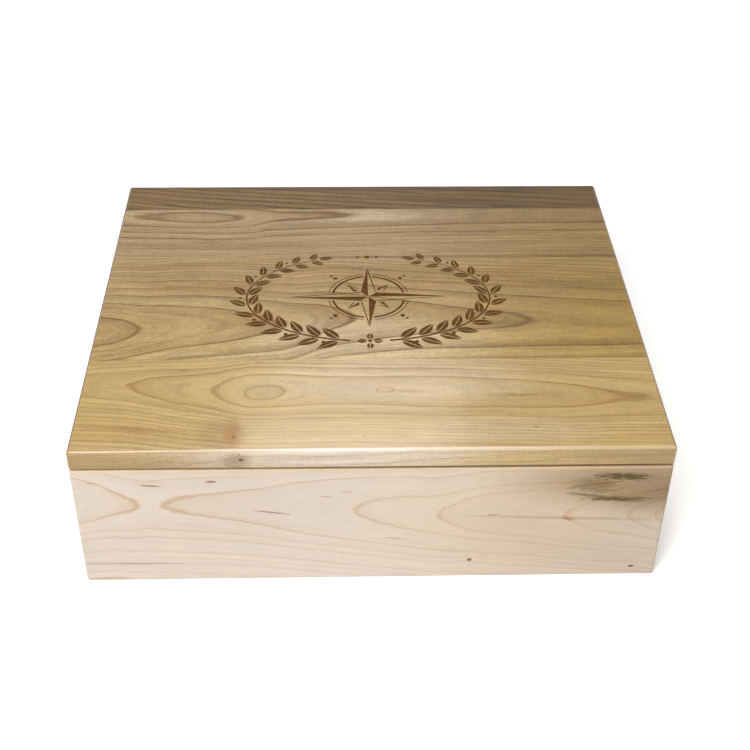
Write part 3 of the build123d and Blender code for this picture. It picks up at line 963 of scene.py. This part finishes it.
# Burnt wood: the fine lines that a burning tool leaves, blotches and the wood's own streaks
def burntMaterial():
    material, tree, shader = newMaterial("burntMaple")
    vector = objectMillimetres(tree, {})
    fibre = useGroup(tree, woodFibre, {"Vector": vector, "Ring Point": vector, "Seed": engraving["seed"]})
    across = parts(tree, vector)[1]
    raster = calc(tree, "SINE", product(tree, across, 2 * math.pi / engraving["rasterPitch"]))
    blotch = noiseAt(tree, vector, woodNoises["charred"])
    char = calc(tree, "MULTIPLY_ADD", raster, engraving["raster"], blotch)
    char = calc(tree, "MULTIPLY_ADD", fibre["Streak"], engraving["streak"], char)
    dark = remap(tree, char, engraving["darkFrom"], engraving["darkTo"])
    feed(tree, shader, {
        "Base Color": mixColour(tree, dark, paint(*engraving["burnt"]), paint(*engraving["burntDark"])),
        "Roughness": engraving["rough"],
        "Specular IOR Level": engraving["specular"],
        "Normal": bumpOf(tree, char, engraving["bump"], engraving["bumpHeight"]),
    })
    return material


# A merged copy of a board's mesh, without the lines that its flat faces were split by
def mergedCopy(node):
    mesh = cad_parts[node].data.copy()
    shape = bmesh.new()
    shape.from_mesh(mesh)
    bmesh.ops.remove_doubles(shape, verts=shape.verts, dist=engraving["mergeWithin"])
    bmesh.ops.recalc_face_normals(shape, faces=shape.faces)
    flat = math.radians(engraving["flatWithin"])
    bmesh.ops.dissolve_limit(shape, angle_limit=flat, verts=shape.verts, edges=shape.edges)
    shape.to_mesh(mesh)
    shape.free()
    return mesh


engravedNames = {"lid_board_back_middle": "engravedBoardBack", "lid_board_front_middle": "engravedBoardFront"}


# The two boards with the cutter taken out of them and its material left on the cut faces
def engraveBoards():
    cutter = addObject("engravingCutter", buildCutter())
    setMaterial(cutter, burntMaterial())
    for node, name in engravedNames.items():
        piece = addObject(name, mergedCopy(node))
        cut = piece.modifiers.new("cut", "BOOLEAN")
        cut.object = cutter
        cut.operation = "DIFFERENCE"
        cut.solver = "EXACT"
        cut.use_self = True
        cut.material_mode = "TRANSFER"
        finished = bpy.data.meshes.new_from_object(piece.evaluated_get(bpy.context.evaluated_depsgraph_get()))
        piece.modifiers.clear()
        piece.data = finished
        for stale in [a for a in finished.attributes if a.name == "custom_normal"]:
            finished.attributes.remove(stale)
        finished.shade_smooth()
        finished.set_sharp_from_angle(angle=math.radians(engraving["sharpFrom"]))
        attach(piece, "lid")
        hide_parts(node)
        print(name, "cut,", len(finished.polygons), "faces,", len(finished.materials), "materials")
    bpy.data.objects.remove(cutter)


engraveBoards()


# Brass hinges: fine lines from drawing the metal, duller where hands touch it. Noises are per metre here.
brass = {
    "bright": (206, 178, 122), "dull": (158, 130, 84), "dullFrom": 0.3, "dullTo": 0.75,
    "drawn": ((60.0, 5200.0, 5200.0), 3.0, 0.6), "handled": ((140.0, 140.0, 140.0), 3.0, 0.6),
    "roughFrom": 0.6, "roughTo": 1.4, "roughLow": 0.28, "roughHigh": 0.48,
    "bump": 0.15, "bumpHeight": 0.00004,
}
brassPieces = {"_leaf": ("brassLeaf", 1.0), "_pin": ("brassPin", 5.0), "_screws": ("brassScrew", 9.0)}


def brassMaterial(name, seed):
    material, tree, shader = newMaterial(name)
    spot = objectSpot(tree)
    drawn = noiseAt(tree, spot, brass["drawn"], seed)
    handled = noiseAt(tree, spot, brass["handled"], seed)
    dull = remap(tree, handled, brass["dullFrom"], brass["dullTo"])
    worn = remap(tree, calc(tree, "ADD", drawn, handled), brass["roughFrom"], brass["roughTo"],
                 brass["roughLow"], brass["roughHigh"])
    feed(tree, shader, {
        "Base Color": mixColour(tree, dull, paint(*brass["bright"]), paint(*brass["dull"])),
        "Roughness": worn,
        "Metallic": 1.0,
        "Normal": bumpOf(tree, drawn, brass["bump"], brass["bumpHeight"]),
    })
    return material


for ending, (name, seed) in brassPieces.items():
    material = brassMaterial(name, seed)
    for node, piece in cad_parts.items():
        if node.endswith(ending):
            setMaterial(piece, material)
print("brass materials built")


# Floor, lamps and camera
stage = {
    "floorSize": 6.0, "floorColour": (246, 246, 245), "floorRough": 0.9,
    "liftNear": 0.29, "liftFar": 0.9, "liftFrom": 0.5, "liftTo": 2.2,  # whitens the lit floor, metres
    "worldStrength": 0.45, "worldAbove": 0.3, "whiteUpTo": 6, "dimFrom": 28,  # degrees above the horizon
}
lamps = {  # place, aim, width, height and power in watts
    "lampFront": ((-0.75, -1.35, 1.8), (0, 0, 0.05), 0.7, 0.7, 27.0),
    "lampTop": ((-0.05, -0.45, 1.5), (-0.02, -0.2, 0.1), 0.55, 1.1, 10.0),
    "lampBack": ((0.0, 0.95, 1.4), (0, 0, 0.08), 0.4, 0.6, 5.0),
}


# 1 for what the camera sees by itself or mirrored, 0 for the light that falls on things
def seenByCamera(tree):
    path = addNode(tree, "LightPath").outputs
    return calc(tree, "MAXIMUM", path["Is Camera Ray"], path["Is Glossy Ray"])


def buildFloor():
    bpy.ops.mesh.primitive_plane_add(size=stage["floorSize"])
    floor = bpy.context.object
    floor.name = "floor"
    material, tree, shader = newMaterial("paleFloor")
    away = addNode(tree, "VectorMath", {0: objectSpot(tree)}, operation="LENGTH").outputs["Value"]
    lifts = (stage[key] for key in ("liftFrom", "liftTo", "liftNear", "liftFar"))
    lift = remap(tree, away, *lifts, smooth=True)
    feed(tree, shader, {
        "Base Color": paint(*stage["floorColour"]),
        "Roughness": stage["floorRough"],
        "Specular IOR Level": 0.0,
        "Emission Color": greyOf(tree, product(tree, seenByCamera(tree), lift)),
        "Emission Strength": 1.0,
    })
    setMaterial(floor, material)


# White round the horizon and dimmer overhead, so that the lid doesn't mirror a white ceiling
def buildWorld():
    world = bpy.data.worlds.new("paleRoom")
    bpy.context.scene.world = world
    world.use_nodes = True
    tree = world.node_tree
    toward = parts(tree, addNode(tree, "NewGeometry").outputs["Incoming"])[2]
    low, high = (math.sin(math.radians(stage[key])) for key in ("whiteUpTo", "dimFrom"))
    level = remap(tree, calc(tree, "ABSOLUTE", toward), low, high, 1.0, stage["worldAbove"], smooth=True)
    strength = remap(tree, seenByCamera(tree), 0.0, 1.0, stage["worldStrength"], 1.0)
    white = (1.0, 1.0, 1.0, 1.0)
    feed(tree, tree.nodes["Background"], {"Color": white, "Strength": product(tree, strength, level)})


def buildLamps():
    for name, (place, aim, width, height, power) in lamps.items():
        data = bpy.data.lights.new(name, "AREA")
        data.shape = "RECTANGLE"
        data.size = width
        data.size_y = height
        data.energy = power
        lamp = addObject(name, data)
        lamp.location = place
        lamp.rotation_euler = (Vector(aim) - Vector(place)).to_track_quat("-Z", "Y").to_euler()


camera = {  # the photograph's viewpoint, solved from the box's outline, in box widths and degrees
    "place": (-0.05563, -2.03987, 1.69623), "yaw": 2.0036, "pitch": 37.7278, "roll": 0.7794,
    "focalPixels": 1305.23, "framePixels": 750,
    "sensor": 36.0, "nearest": 0.05,  # mm and metres
}


def buildCamera():
    data = bpy.data.cameras.new("photoCamera")
    data.sensor_width = camera["sensor"]
    data.lens = camera["focalPixels"] / camera["framePixels"] * camera["sensor"]
    data.clip_start = camera["nearest"]
    item = addObject("photoCamera", data)
    yaw, pitch, roll = (math.radians(camera[key]) for key in ("yaw", "pitch", "roll"))
    forward = Vector((math.sin(yaw) * math.cos(pitch), math.cos(yaw) * math.cos(pitch), -math.sin(pitch)))
    right = Vector((math.cos(yaw), -math.sin(yaw), 0))
    up = right.cross(forward)
    tiltedRight = right * math.cos(roll) + up * math.sin(roll)
    tiltedUp = up * math.cos(roll) - right * math.sin(roll)
    turn = Matrix((tiltedRight, tiltedUp, -forward)).transposed()
    item.matrix_world = Matrix.Translation(Vector(camera["place"]) * boxWidth) @ turn.to_4x4()
    bpy.context.scene.camera = item


buildFloor()
buildWorld()
buildLamps()
buildCamera()
bpy.context.scene.view_settings.view_transform = "Standard"
print("stage, lamps and camera built")
